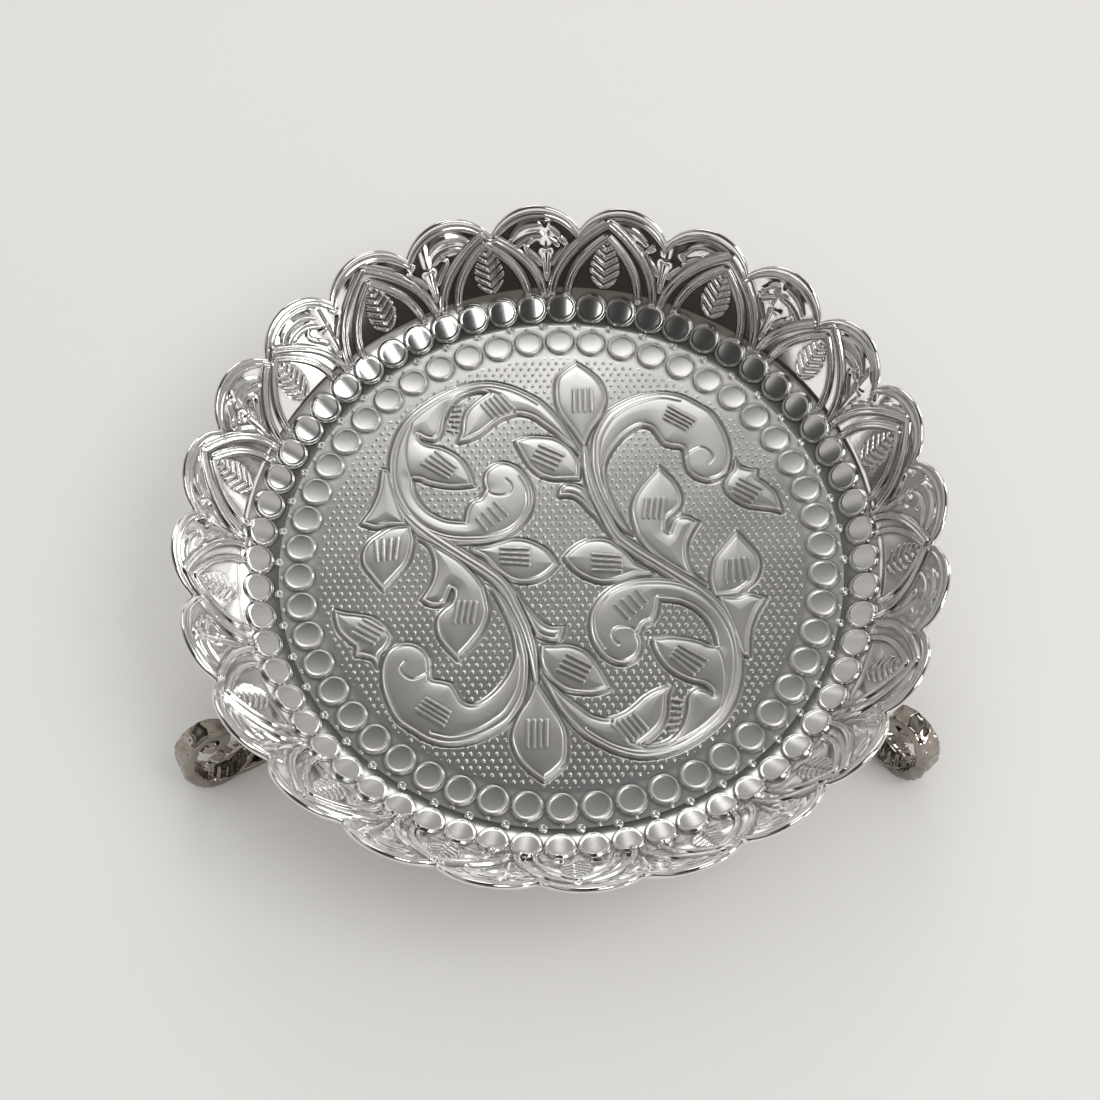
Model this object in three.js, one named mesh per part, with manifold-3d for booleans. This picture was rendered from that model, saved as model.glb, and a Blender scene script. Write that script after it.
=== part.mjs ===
// Urli platter: pressed dish with a scalloped, petalled wall and a scroll-vine well, on three cast feet.
// Millimetres, +Z up. The origin is the centre of the well's floor, so the feet stand at z = -standHeight.
import * as THREE from "three";
import Module from "manifold-3d";
import { mergeVertices } from "three/addons/utils/BufferGeometryUtils.js";

const wasm = await Module();
wasm.setup();

// Sheet and its profile: a flat well, a foot fillet, then a wall that steepens a little towards the edge.
const sheetThickness = 1.2;
const wellRadius = 113;
const filletRadius = 20;
const wallSlopeLow = THREE.MathUtils.degToRad(53);
const wallSlopeHigh = THREE.MathUtils.degToRad(58);
const wallLength = 35.6;

// Scalloped edge: round lobes with a sharp notch between neighbours, finished by a thick rolled bead.
const scallopCount = 24;
const scallopDepth = 10.6;
const scallopTurn = THREE.MathUtils.degToRad(11.7);
const scallopSteps = 6;
const edgeRollRadius = 1.1;
const edgeRollTurns = [125, 40, -40, -120];
const backColumns = 60;

// Two rings of round bosses, one in the floor and one on the foot fillet.
const innerBossCount = 50;
const innerBossInset = 8;
const innerBossRadius = 5.8;
const outerBossCount = 60;
const outerBossRun = 8.67;
const outerBossRadius = 5.8;
const bossHeight = 2;
const bossMargin = 0.4;
const bossSides = 8;
const innerBossTurn = THREE.MathUtils.degToRad(104.5);
const outerBossTurn = THREE.MathUtils.degToRad(95.8);

// Pointed petal arches on the wall, each a pair of raised lines that end in an apex under the edge, round a
// raised leaf, whose half widths are given at the first of the levels.
const archCount = 17;
const archTurn = THREE.MathUtils.degToRad(-2.9);
const archHalfAngle = THREE.MathUtils.degToRad(9.9);
const innerArchHalfAngle = THREE.MathUtils.degToRad(6.9);
const archTopRun = 47;
const archEdgeGap = 3.1;
const innerArchShare = 0.82;
const archLineWidth = 2.4;
const archLineHeight = 0.9;
const petalLevels = [0, 0.25, 0.5, 0.69, innerArchShare, 0.92, 1];
const archLeafHalfWidths = [0, 5, 4.6, 0];
const archLeafHeight = 0.9;

// Scroll-vine medallion: half of it is drawn, and the other half is the same turned by 180 degrees.
const vineMargin = 0.8;
const vineHeight = 1;
const vineTolerance = 0.08;
const reliefBury = 0.6;

// Cast feet: a pad under the well, a strap down to the sole, a scroll that rises and curls in round a ball,
// a smaller curl under the strap, and a pointed leaf over the sole.
const standHeight = 42;
const footReach = 66;
const footBandWidth = 10.4;
const footBandThickness = 4.2;
const footBallRadius = 4.2;
const footPadInset = 12;
const footPadLength = 20;
const footPadWidth = 15;
const footPadThickness = 3;
const solderFilm = 0.3;
const soleCut = 0.9;
const footPlaces = [
  { name: "foot_back", angle: 91, splay: 0 },
  { name: "foot_left", angle: 208, splay: 0 },
  { name: "foot_right", angle: 342, splay: -27 },
];

const silver = new THREE.MeshStandardMaterial({ color: 0xd9d7d2, roughness: 0.22, metalness: 1 });
const castMetal = new THREE.MeshStandardMaterial({ color: 0x9d958a, roughness: 0.35, metalness: 1 });

const filletLength = filletRadius * wallSlopeLow;
const wallBend = (wallSlopeHigh - wallSlopeLow) / wallLength;

// Point and upward normal of the sheet's upper face at distance s past the end of the flat well.
function profileAt(s) {
  if (s <= 0) return { r: wellRadius + s, z: 0, nr: 0, nz: 1 };
  if (s <= filletLength) {
    const slope = s / filletRadius;
    return {
      r: wellRadius + filletRadius * Math.sin(slope),
      z: filletRadius * (1 - Math.cos(slope)),
      nr: -Math.sin(slope),
      nz: Math.cos(slope),
    };
  }
  const slope = wallSlopeLow + wallBend * (s - filletLength);
  const bendRadius = 1 / wallBend;
  return {
    r: profileAt(filletLength).r + bendRadius * (Math.sin(slope) - Math.sin(wallSlopeLow)),
    z: profileAt(filletLength).z + bendRadius * (Math.cos(wallSlopeLow) - Math.cos(slope)),
    nr: -Math.sin(slope),
    nz: Math.cos(slope),
  };
}

// The petals start just outside the outer bosses, and the vine ends just inside the inner ones.
const archFoot = outerBossRun + outerBossRadius + 2 * bossMargin;
const vineRadius = wellRadius - innerBossInset - innerBossRadius - bossMargin - vineMargin;

function pointOnSheet(angle, s, height) {
  const p = profileAt(s);
  const r = p.r + p.nr * height;
  return [r * Math.cos(angle), r * Math.sin(angle), p.z + p.nz * height];
}

// Length of the wall at an angle round the rim: scallops are round arcs that meet in sharp notches.
const crestLength = filletLength + wallLength;
const halfChord = (profileAt(crestLength).r * Math.PI) / scallopCount;
const scallopRadius = (halfChord ** 2 + scallopDepth ** 2) / (2 * scallopDepth);
const scallopHalfArc = Math.asin(halfChord / scallopRadius);
const fullTurn = 2 * Math.PI;

function rimLength(angle) {
  const lobes = ((angle - scallopTurn) / fullTurn) * scallopCount;
  const across = 2 * (lobes - Math.floor(lobes)) - 1;
  return crestLength - scallopRadius * (1 - Math.sqrt(1 - (across * Math.sin(scallopHalfArc)) ** 2));
}

// Angles round the rim, in equal steps along each scallop's arc.
function rimAngles() {
  const angles = [];
  for (let lobe = 0; lobe < scallopCount; lobe++) {
    for (let step = 0; step < scallopSteps; step++) {
      const across = Math.sin(scallopHalfArc * ((2 * step) / scallopSteps - 1)) / Math.sin(scallopHalfArc);
      angles.push(scallopTurn + ((lobe + (across + 1) / 2) * fullTurn) / scallopCount);
    }
  }
  return angles;
}

function evenAngles(count, start) {
  return Array.from({ length: count }, (_, i) => start + (i * fullTurn) / count);
}

// The sheet's skin, built ring by ring from the axis out over the upper face and back underneath.
const positions = [];
const triangles = [];

function vertex(angle, s, height) {
  positions.push(...pointOnSheet(angle, s, height));
  return positions.length / 3 - 1;
}

function ring(angles, place) {
  return { angles, ids: angles.map((angle) => vertex(angle, ...place(angle))) };
}

function addTriangle(a, b, c) {
  if (a !== b && b !== c && c !== a) triangles.push(a, b, c);
}

// Angle from one direction to another, from -pi up to pi.
function turnBetween(from, to) {
  const turn = (to - from) % fullTurn;
  if (turn >= Math.PI) return turn - fullTurn;
  return turn < -Math.PI ? turn + fullTurn : turn;
}

// Angles of a ring, counted on from a first direction without a jump.
function unrolled(angles, first, from) {
  const list = [turnBetween(from, angles[first])];
  for (let k = 1; k <= angles.length; k++) {
    const step = turnBetween(angles[(first + k - 1) % angles.length], angles[(first + k) % angles.length]);
    list.push(list[k - 1] + step);
  }
  return list;
}

// Joins two rings of any counts with a strip of triangles, always taking the nearer next point.
function stitch(inside, outside) {
  const from = inside.angles[0];
  const gaps = outside.angles.map((angle) => Math.abs(turnBetween(from, angle)));
  const start = gaps.indexOf(Math.min(...gaps));
  const inner = unrolled(inside.angles, 0, from);
  const outer = unrolled(outside.angles, start, from);
  let i = 0;
  let j = 0;
  while (i < inside.ids.length || j < outside.ids.length) {
    const a = inside.ids[i % inside.ids.length];
    const b = outside.ids[(start + j) % outside.ids.length];
    if (i >= inside.ids.length || (j < outside.ids.length && outer[j + 1] <= inner[i + 1])) {
      j++;
      addTriangle(a, b, outside.ids[(start + j) % outside.ids.length]);
    } else {
      i++;
      addTriangle(a, b, inside.ids[i % inside.ids.length]);
    }
  }
}

// Joins two rings of like points, point by point; points that have run together leave no triangle.
function joinRows(inside, outside) {
  const count = inside.ids.length;
  for (let i = 0; i < count; i++) {
    const next = (i + 1) % count;
    addTriangle(inside.ids[i], outside.ids[i], outside.ids[next]);
    addTriangle(inside.ids[i], outside.ids[next], inside.ids[next]);
  }
}

// Ring of round bosses, each a low dome in a cell of its own; gives back the cells' inner and outer rings.
function bossRing(count, s, radius, turn) {
  const ringRadius = profileAt(s).r;
  const half = radius + bossMargin;
  const corners = evenAngles(count, turn + Math.PI / count);
  const inner = ring(corners, () => [s - half, 0]);
  const outer = ring(corners, () => [s + half, 0]);
  for (let i = 0; i < count; i++) {
    const centre = corners[i] + Math.PI / count;
    const next = (i + 1) % count;
    const circle = (reach, height) => {
      const angles = evenAngles(bossSides, 0);
      const ids = angles.map((a) =>
        vertex(centre - (reach * Math.cos(a)) / ringRadius, s + reach * Math.sin(a), height),
      );
      return { angles, ids };
    };
    const foot = circle(radius, 0);
    const shoulder = circle(radius * 0.72, bossHeight * 0.68);
    const crown = vertex(centre, s, bossHeight);
    const cell = { angles: [5, 7, 1, 3].map((k) => (k * Math.PI) / 4), ids: [] };
    cell.ids.push(inner.ids[next], inner.ids[i], outer.ids[i], outer.ids[next]);
    stitch(foot, cell);
    joinRows(shoulder, foot);
    shoulder.ids.forEach((id, k) => addTriangle(crown, id, shoulder.ids[(k + 1) % bossSides]));
  }
  return { inner, outer };
}

// Half width of a pointed arch at a share of its height, as a share of its half width at the foot.
const archTaper = (share) => 1 - 0.12 * share - 0.88 * share ** 2;

// Distance past the well of an arch's apex, which stays under the edge where the arch ends at a notch.
function archTop(centre) {
  return Math.min(archTopRun, rimLength(centre) - archEdgeGap);
}

// Outer foot, ridge and inner foot of a raised line, as angles from the arch's centre; zero past its apex.
function archLine(halfAngle, share, rise) {
  if (share > 1) return [[0, 0], [0, 0], [0, 0]];
  const ring = profileAt(archFoot + share * rise).r;
  const lean = (halfAngle * ring * (0.12 + 1.76 * share)) / rise;
  const reach = ((archLineWidth / 2) * Math.sqrt(1 + lean ** 2)) / ring;
  const middle = halfAngle * archTaper(share);
  return [[middle + reach, 0], [middle, archLineHeight], [Math.max(middle - reach, 0), 0]];
}

// Row of the petal wall at a share of the arches' height: sixteen points per arch, run together past an apex.
function petalRow(share, leafHalfWidth) {
  const row = { angles: [], ids: [] };
  for (let arch = 0; arch < archCount; arch++) {
    const centre = archTurn + (arch * fullTurn) / archCount;
    const rise = archTop(centre) - archFoot;
    const half = [
      ...archLine(archHalfAngle, share, rise),
      ...archLine(innerArchHalfAngle, share / innerArchShare, rise * innerArchShare),
      [leafHalfWidth / profileAt(archFoot + share * rise).r, 0],
    ];
    const place = (offset, height) => {
      const angle = centre + offset;
      const s = Math.min(archFoot + share * rise, rimLength(angle) - archEdgeGap + archLineHeight);
      row.angles.push(angle);
      row.ids.push(vertex(angle, s, height));
    };
    place(-Math.PI / archCount, 0);
    const ends = half.filter(([offset]) => offset > 0);
    ends.forEach(([offset, height]) => place(-offset, height));
    const crown = half.find(([offset]) => offset === 0);
    const shared = row.ids.length;
    place(0, crown ? crown[1] : archLeafHeight);
    for (let k = 0; k < 2 * (half.length - ends.length); k++) {
      row.angles.push(centre);
      row.ids.push(row.ids[shared]);
    }
    ends.reverse().forEach(([offset, height]) => place(offset, height));
  }
  return row;
}

function petalWall() {
  const rows = petalLevels.map((share, level) => petalRow(share, archLeafHalfWidths[level] ?? 0));
  for (let k = 1; k < rows.length; k++) joinRows(rows[k - 1], rows[k]);
  return { inner: rows[0], outer: rows[rows.length - 1] };
}

// Rolled bead along the scalloped edge, and the smooth back of the sheet under it.
function rolledEdge() {
  const angles = rimAngles();
  const rows = edgeRollTurns.map((degrees) => {
    const a = THREE.MathUtils.degToRad(degrees);
    const height = edgeRollRadius * Math.sin(a) - sheetThickness / 2;
    return ring(angles, (angle) => [rimLength(angle) - edgeRollRadius * (1 - Math.cos(a)), height]);
  });
  for (let k = 1; k < rows.length; k++) joinRows(rows[k - 1], rows[k]);
  return { inner: rows[0], outer: rows[rows.length - 1] };
}

function sheetGeometry() {
  const top = vertex(0, -wellRadius, 0);
  const innerBosses = bossRing(innerBossCount, -innerBossInset, innerBossRadius, innerBossTurn);
  innerBosses.inner.ids.forEach((id, k, ids) => addTriangle(top, id, ids[(k + 1) % ids.length]));
  const outerBosses = bossRing(outerBossCount, outerBossRun, outerBossRadius, outerBossTurn);
  const petals = petalWall();
  const edge = rolledEdge();
  stitch(innerBosses.outer, outerBosses.inner);
  stitch(outerBosses.outer, petals.inner);
  stitch(petals.outer, edge.inner);
  const backAngles = evenAngles(backColumns, scallopTurn);
  const back = [filletLength + wallLength / 3, filletLength, filletLength / 2, 0].map((s) =>
    ring(backAngles, () => [s, -sheetThickness]),
  );
  stitch(edge.outer, back[0]);
  for (let k = 1; k < back.length; k++) joinRows(back[k - 1], back[k]);
  const bottom = vertex(0, -wellRadius, -sheetThickness);
  back.at(-1).ids.forEach((id, k, ids) => addTriangle(bottom, ids[(k + 1) % ids.length], id));
  return bodyGeometry(positions, triangles);
}

function bodyGeometry(points, index) {
  const geometry = new THREE.BufferGeometry();
  geometry.setAttribute("position", new THREE.Float32BufferAttribute(points, 3));
  geometry.setIndex(index);
  return geometry;
}

// Solid of a closed geometry, for joining and cutting, and the geometry of a solid.
function solidOf(geometry) {
  const bare = geometry.clone();
  bare.deleteAttribute("normal");
  bare.deleteAttribute("uv");
  const merged = mergeVertices(bare, 1e-4);
  const vertProperties = merged.attributes.position.array;
  return new wasm.Manifold(new wasm.Mesh({ numProp: 3, vertProperties, triVerts: merged.index.array }));
}

function geometryOf(solid) {
  const mesh = solid.getMesh();
  return bodyGeometry(Array.from(mesh.vertProperties), Array.from(mesh.triVerts));
}

// Flat outline of a shape, for joining with the others.
function outlineOf(shape, divisions) {
  return new wasm.CrossSection([shape.getPoints(divisions).map((p) => [p.x, p.y])], "NonZero");
}

// Pointed leaf from its base to its tip, with its middle at the given point.
function leaf(base, tip, middle, halfWidth) {
  const from = new THREE.Vector2(...base);
  const to = new THREE.Vector2(...tip);
  const along = to.clone().sub(from).normalize();
  const across = new THREE.Vector2(-along.y, along.x);
  const centre = new THREE.Vector2(...middle);
  const shape = new THREE.Shape();
  shape.moveTo(from.x, from.y);
  for (const [side, end, start] of [[-1, to, from], [1, from, to]]) {
    const bulge = centre.clone().addScaledVector(across, side * halfWidth * 1.1);
    const a = bulge.clone().addScaledVector(start.clone().sub(bulge), 0.42);
    const b = bulge.clone().addScaledVector(end.clone().sub(bulge), 0.42);
    const half = a.clone().lerp(b, 0.5);
    shape.quadraticCurveTo(a.x, a.y, half.x, half.y);
    shape.quadraticCurveTo(b.x, b.y, end.x, end.y);
  }
  return outlineOf(shape, 4);
}

// Scroll: a band along a smooth spine of [x, y, half width] points, with a round end.
function scroll(spine) {
  const path = new THREE.CatmullRomCurve3(spine.map((p) => new THREE.Vector3(...p)));
  const steps = spine.length * 2;
  const left = [];
  const right = [];
  for (let i = 0; i <= steps; i++) {
    const p = path.getPoint(i / steps);
    const t = path.getTangent(i / steps).setZ(0).normalize();
    left.push(new THREE.Vector2(p.x - t.y * p.z, p.y + t.x * p.z));
    right.unshift(new THREE.Vector2(p.x + t.y * p.z, p.y - t.x * p.z));
  }
  const end = spine[spine.length - 1];
  const t = path.getTangent(1).setZ(0).normalize();
  left.push(new THREE.Vector2(end[0] + t.x * end[2], end[1] + t.y * end[2]));
  return outlineOf(new THREE.Shape(left.concat(right)), 1);
}

// Half of the scroll vine, in hundredths of its radius: stem, hook scroll, great crescent and leaves.
function halfVine() {
  return [
    scroll([
      [-71.4, 46.9, 0.8], [-66.3, 25, 2.6], [-41.8, 4.1, 3.6], [-19.9, -17.3, 3.6], [-12.2, -43.4, 2.6],
      [-9.7, -56.1, 1.2],
    ]),
    scroll([
      [-24.5, -13.3, 2.2], [-15.8, -37.8, 3.1], [-19.4, -59.2, 5.6], [-34.2, -71.4, 7.7], [-51, -65.3, 10.7],
      [-63.8, -55.1, 6.1], [-67.3, -47.4, 3.8], [-62.8, -41.1, 3.9], [-57.4, -44.9, 4.7],
    ]),
    scroll([
      [-8.7, -51, 1], [5.6, -68.9, 3.6], [17.3, -77.6, 5.6], [40.3, -82.1, 3.6], [57.1, -66.8, 7.1],
      [67.3, -48, 4.1], [64.3, -27.6, 3.8], [45.4, -13.3, 4.8], [28.6, -18.4, 7.1], [16.8, -32.1, 4.1],
      [18.9, -43.1, 3.9], [26, -39.8, 4.7],
    ]),
    scroll([[-40.3, 3.1, 6.1], [-39.3, -9.2, 6.6], [-48, -13.3, 4.1], [-55.1, -17.3, 1.2]]),
    scroll([[-70.9, 41.8, 1.5], [-71.4, 22.4, 5.6], [-81.1, 17.3, 1.2]]),
    scroll([[-18.4, -15.3, 1.5], [-11.7, -27, 2.7], [-0.5, -33.2, 2.7]]),
    leaf([-10.2, -53.1], [-6.6, -95.9], [-8.7, -76.5], 10.4),
    leaf([-38.8, 6.6], [-2, -2.2], [-18.4, 0.5], 9.7),
    leaf([-9.2, -39.8], [19.4, -57.1], [5.6, -49.5], 8.2),
    leaf([-36.7, -10.2], [-41.3, -44.4], [-39.8, -27.6], 10),
    leaf([-68.4, 20.4], [-71.9, -13.3], [-70.9, 2.6], 10),
    leaf([-71.4, -46.4], [-91.8, -21.9], [-79.1, -33.2], 7.6),
    leaf([64.3, -54.1], [36.2, -35.2], [50.5, -43.9], 8.4),
    leaf([22.4, -78.6], [43.4, -56.1], [31.6, -68.4], 8.2),
  ];
}

// The whole vine, raised from the floor of the well.
function scrollVine() {
  const half = wasm.CrossSection.union(halfVine());
  const whole = half.add(half.rotate(180)).scale(vineRadius / 100).simplify(vineTolerance);
  return whole.extrude(vineHeight + reliefBury).translate([0, 0, -reliefBury]);
}

function dishGeometry() {
  return geometryOf(solidOf(sheetGeometry()).add(scrollVine()));
}

// Bands of a foot in its own plane. Each point is a share of the reach outwards from the pad's middle, a
// share of the way down from the pad to the floor, and shares of the band's half width and half thickness.
const scrollPoints = [
  [0, 0.02, 1.15, 0.76], [0.167, 0.05, 1, 0.95], [0.333, 0.213, 0.69, 0.95], [0.47, 0.45, 0.58, 1],
  [0.591, 0.69, 0.65, 1.1], [0.712, 0.91, 0.88, 1.05], [0.826, 1, 1, 1], [0.924, 0.895, 1.04, 1.05],
  [0.978, 0.69, 1, 1.05], [1, 0.44, 1, 1], [0.977, 0.187, 0.96, 1], [0.917, -0.013, 0.92, 0.95],
  [0.833, -0.099, 0.85, 0.9], [0.758, -0.04, 0.81, 0.9], [0.735, 0.093, 0.77, 0.9], [0.773, 0.213, 0.73, 0.9],
  [0.833, 0.187, 0.65, 0.9],
];
const curlPoints = [
  [0.79, 1, 0.8, 1], [0.68, 1, 0.95, 1], [0.56, 1, 0.95, 1], [0.455, 0.88, 0.9, 0.95],
  [0.44, 0.7, 0.85, 0.9], [0.51, 0.62, 0.8, 0.9], [0.575, 0.7, 0.75, 0.9], [0.54, 0.8, 0.7, 0.9],
];
const leafPoints = [
  [0.576, 0.615, 0.55, 0.7], [0.667, 0.775, 1.05, 0.9], [0.758, 0.87, 1.35, 1.05], [0.848, 0.885, 1.05, 1],
  [0.917, 0.835, 0.5, 0.8], [0.95, 0.785, 0.16, 0.4],
];

// Cross-sections of the bands: a flat bar with cut corners, and a leaf with a ridge along its middle.
const barSection = [
  [1, -0.4], [1, 0.4], [0.55, 1], [-0.55, 1], [-1, 0.4], [-1, -0.4], [-0.55, -1], [0.55, -1],
];
const leafSection = [[1, -0.2], [0.45, 0.6], [0, 1.2], [-0.45, 0.6], [-1, -0.2], [0, -1]];

// A share of the reach and of the drop as a place in the foot's plane: x outwards from the pad, z up.
function footPlace([out, down]) {
  const padUnder = -sheetThickness - solderFilm - footPadThickness;
  const drop = standHeight + soleCut - footBandThickness / 2 + padUnder;
  return [out * footReach, padUnder - down * drop];
}

// Loft of a cross-section along a smooth line through points, closed by a flat fan at each end.
function bandGeometry(points, section) {
  const steps = 2 * (points.length - 1);
  const spine = new THREE.CatmullRomCurve3(
    points.map((p) => new THREE.Vector3(footPlace(p)[0], 0, footPlace(p)[1])),
  );
  const size = new THREE.CatmullRomCurve3(
    points.map(([, , wide, thick], i) => new THREE.Vector3(wide, thick, i)),
  );
  const sides = section.length;
  const positions = [];
  for (let step = 0; step <= steps; step++) {
    const p = spine.getPoint(step / steps);
    const t = spine.getTangent(step / steps);
    const { x: wide, y: thick } = size.getPoint(step / steps);
    for (const [across, up] of section) {
      const out = (up * thick * footBandThickness) / 2;
      positions.push(p.x - t.z * out, (across * wide * footBandWidth) / 2, p.z + t.x * out);
    }
  }
  for (const p of [spine.getPoint(0), spine.getPoint(1)]) positions.push(p.x, 0, p.z);
  const index = [];
  const first = (steps + 1) * sides;
  for (let side = 0; side < sides; side++) {
    const next = (side + 1) % sides;
    for (let step = 0; step < steps; step++) {
      const a = step * sides;
      const b = a + sides;
      index.push(a + side, a + next, b + next, a + side, b + next, b + side);
    }
    const last = steps * sides;
    index.push(first, next, side, first + 1, last + side, last + next);
  }
  return bodyGeometry(positions, index);
}

// Oval pad that the solder film holds to the flat underside of the well.
function padGeometry() {
  const pad = new THREE.CylinderGeometry(1, 0.82, footPadThickness, 20);
  pad.rotateX(Math.PI / 2);
  pad.scale(footPadLength / 2, footPadWidth / 2, 1);
  return pad.translate(0, 0, -sheetThickness - solderFilm - footPadThickness / 2);
}

function footGeometry() {
  const [ballX, ballZ] = footPlace(scrollPoints.at(-1));
  const ball = new THREE.SphereGeometry(footBallRadius, 12, 8).translate(ballX, 0, ballZ);
  const cast = wasm.Manifold.union([
    solidOf(bandGeometry(scrollPoints, barSection)),
    solidOf(bandGeometry(curlPoints, barSection)),
    solidOf(bandGeometry(leafPoints, leafSection)),
    solidOf(padGeometry()),
    solidOf(ball),
  ]);
  const belowFloor = new THREE.BoxGeometry(4 * footReach, 4 * footBandWidth, standHeight);
  belowFloor.translate(0, 0, -1.5 * standHeight);
  return geometryOf(cast.subtract(solidOf(belowFloor)));
}

function namedMesh(name, geometry, material) {
  const mesh = new THREE.Mesh(geometry, material);
  mesh.name = name;
  return mesh;
}

const platter = new THREE.Group();
platter.name = "urli_platter";
platter.add(namedMesh("dish", dishGeometry(), silver));
const padRing = wellRadius - footPadInset;
for (const { name, angle, splay } of footPlaces) {
  const foot = namedMesh(name, footGeometry(), castMetal);
  const turn = THREE.MathUtils.degToRad(angle);
  foot.position.set(padRing * Math.cos(turn), padRing * Math.sin(turn), 0);
  foot.rotation.z = turn + THREE.MathUtils.degToRad(splay);
  platter.add(foot);
}

export default platter;
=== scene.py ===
"""Urli platter: pressed silver-finish dish with a scroll-vine well and petalled wall, on three cast feet.

Sizes inside the shape functions are millimetres; meshes are written in metres. The origin is the middle of
the well's floor, with z up out of the dish.
"""

import math

import bpy
import numpy as np
from bpy.props import FloatProperty, FloatVectorProperty, PointerProperty
from mathutils import Euler, Matrix, Vector


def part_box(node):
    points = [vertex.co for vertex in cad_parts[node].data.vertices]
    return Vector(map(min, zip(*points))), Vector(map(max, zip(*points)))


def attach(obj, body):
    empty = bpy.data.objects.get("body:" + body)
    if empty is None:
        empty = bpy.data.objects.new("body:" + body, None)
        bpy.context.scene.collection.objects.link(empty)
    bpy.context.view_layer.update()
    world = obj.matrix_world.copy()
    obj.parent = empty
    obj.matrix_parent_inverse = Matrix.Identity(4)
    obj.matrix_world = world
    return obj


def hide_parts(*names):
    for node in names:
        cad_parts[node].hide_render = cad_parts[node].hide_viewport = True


bl_info = {
    "name": "Urli Platter",
    "version": (1, 0, 0),
    "blender": (4, 5, 0),
    "location": "View3D > Sidebar > Urli Platter",
    "description": "Builds the pressed dish, its cast scroll feet and the studio round them",
    "category": "Add Mesh",
}

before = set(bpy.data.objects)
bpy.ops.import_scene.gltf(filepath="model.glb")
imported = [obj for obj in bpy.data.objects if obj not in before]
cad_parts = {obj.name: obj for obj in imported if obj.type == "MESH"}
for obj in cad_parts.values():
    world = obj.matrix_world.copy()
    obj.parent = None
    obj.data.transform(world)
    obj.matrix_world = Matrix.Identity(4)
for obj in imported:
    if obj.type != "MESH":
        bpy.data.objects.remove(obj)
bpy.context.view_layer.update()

MM = 0.001
TURN = 2 * math.pi
ROOT = "root"

# Sheet and its profile, as the solids have them
SHEET = 1.2
WELL = 113.0
FILLET = 20.0
SLOPE_LOW = math.radians(53)
SLOPE_HIGH = math.radians(58)
WALL = 35.6
FILLET_RUN = FILLET * SLOPE_LOW
CREST_RUN = FILLET_RUN + WALL
WALL_BEND = (SLOPE_HIGH - SLOPE_LOW) / WALL

# Scalloped edge
SCALLOPS = 24
SCALLOP_DEPTH = 10.6
SCALLOP_TURN = math.radians(11.7)
BEAD = 1.1

# Rings of bosses: how many, radius of the ring, direction of the first, reach and dome of one boss
INNER_BOSSES = (50, 105.0, math.radians(104.5), 5.75, -0.22)
OUTER_BOSSES = (60, 121.4, math.radians(95.8), 6.0, 0.65)
ARCH_START = 5.8

# Pointed arches of the petals: each has an outer and an inner raised line
ARCHES = 17
ARCH_TURN = math.radians(-2.9)
OUTER_ARCH = math.radians(9.9)
INNER_ARCH = math.radians(6.9)
ARCH_BAND = 2.7
INNER_BAND = 0.85 * ARCH_BAND
OUTER_RISE = 1.15
INNER_RISE = 1.0
APEX_CLEAR = 3.1
OUTER_TOP = 44.3
INNER_TOP = 40.2

# Fern leaf inside each arch, bud between the arches, and the radii at which turns are taken as millimetres
FERN_FOOT = 18.0
FERN_HALF = 6.0
FERN_PITCH = 3.4
FERN_CLEAR = 1.5
BUD_AT = 35.0
ARCH_RADIUS = 135
SPANDREL_RADIUS = 140
LOBE_RADIUS = 145

# Chased strokes of a lobe (across, down from the edge) and of a spandrel (across, distance past the well)
LOBE_STROKES = [
    [(-10, 10.4), (-5, 8.3), (1.5, 7.7), (7, 8.6), (10, 10.8)],
    [(-9, 14.6), (-3, 13.2), (3, 13.4), (8.5, 15.2)],
]
SPANDREL_STROKE = [(2.6, 29), (4.6, 31.5), (7.2, 34.2), (8.2, 37.4), (6.4, 39.6)]
SPANDREL_STROKES = [[(-across, s) for across, s in SPANDREL_STROKE], SPANDREL_STROKE]

# Relief of the vine and of the ground
VINE_HEIGHT = 0.95
VINE_CROWN = 0.55
DOT_PITCH = 3.3
DOT_HEIGHT = 0.4
MEDALLION = 98.0

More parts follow.
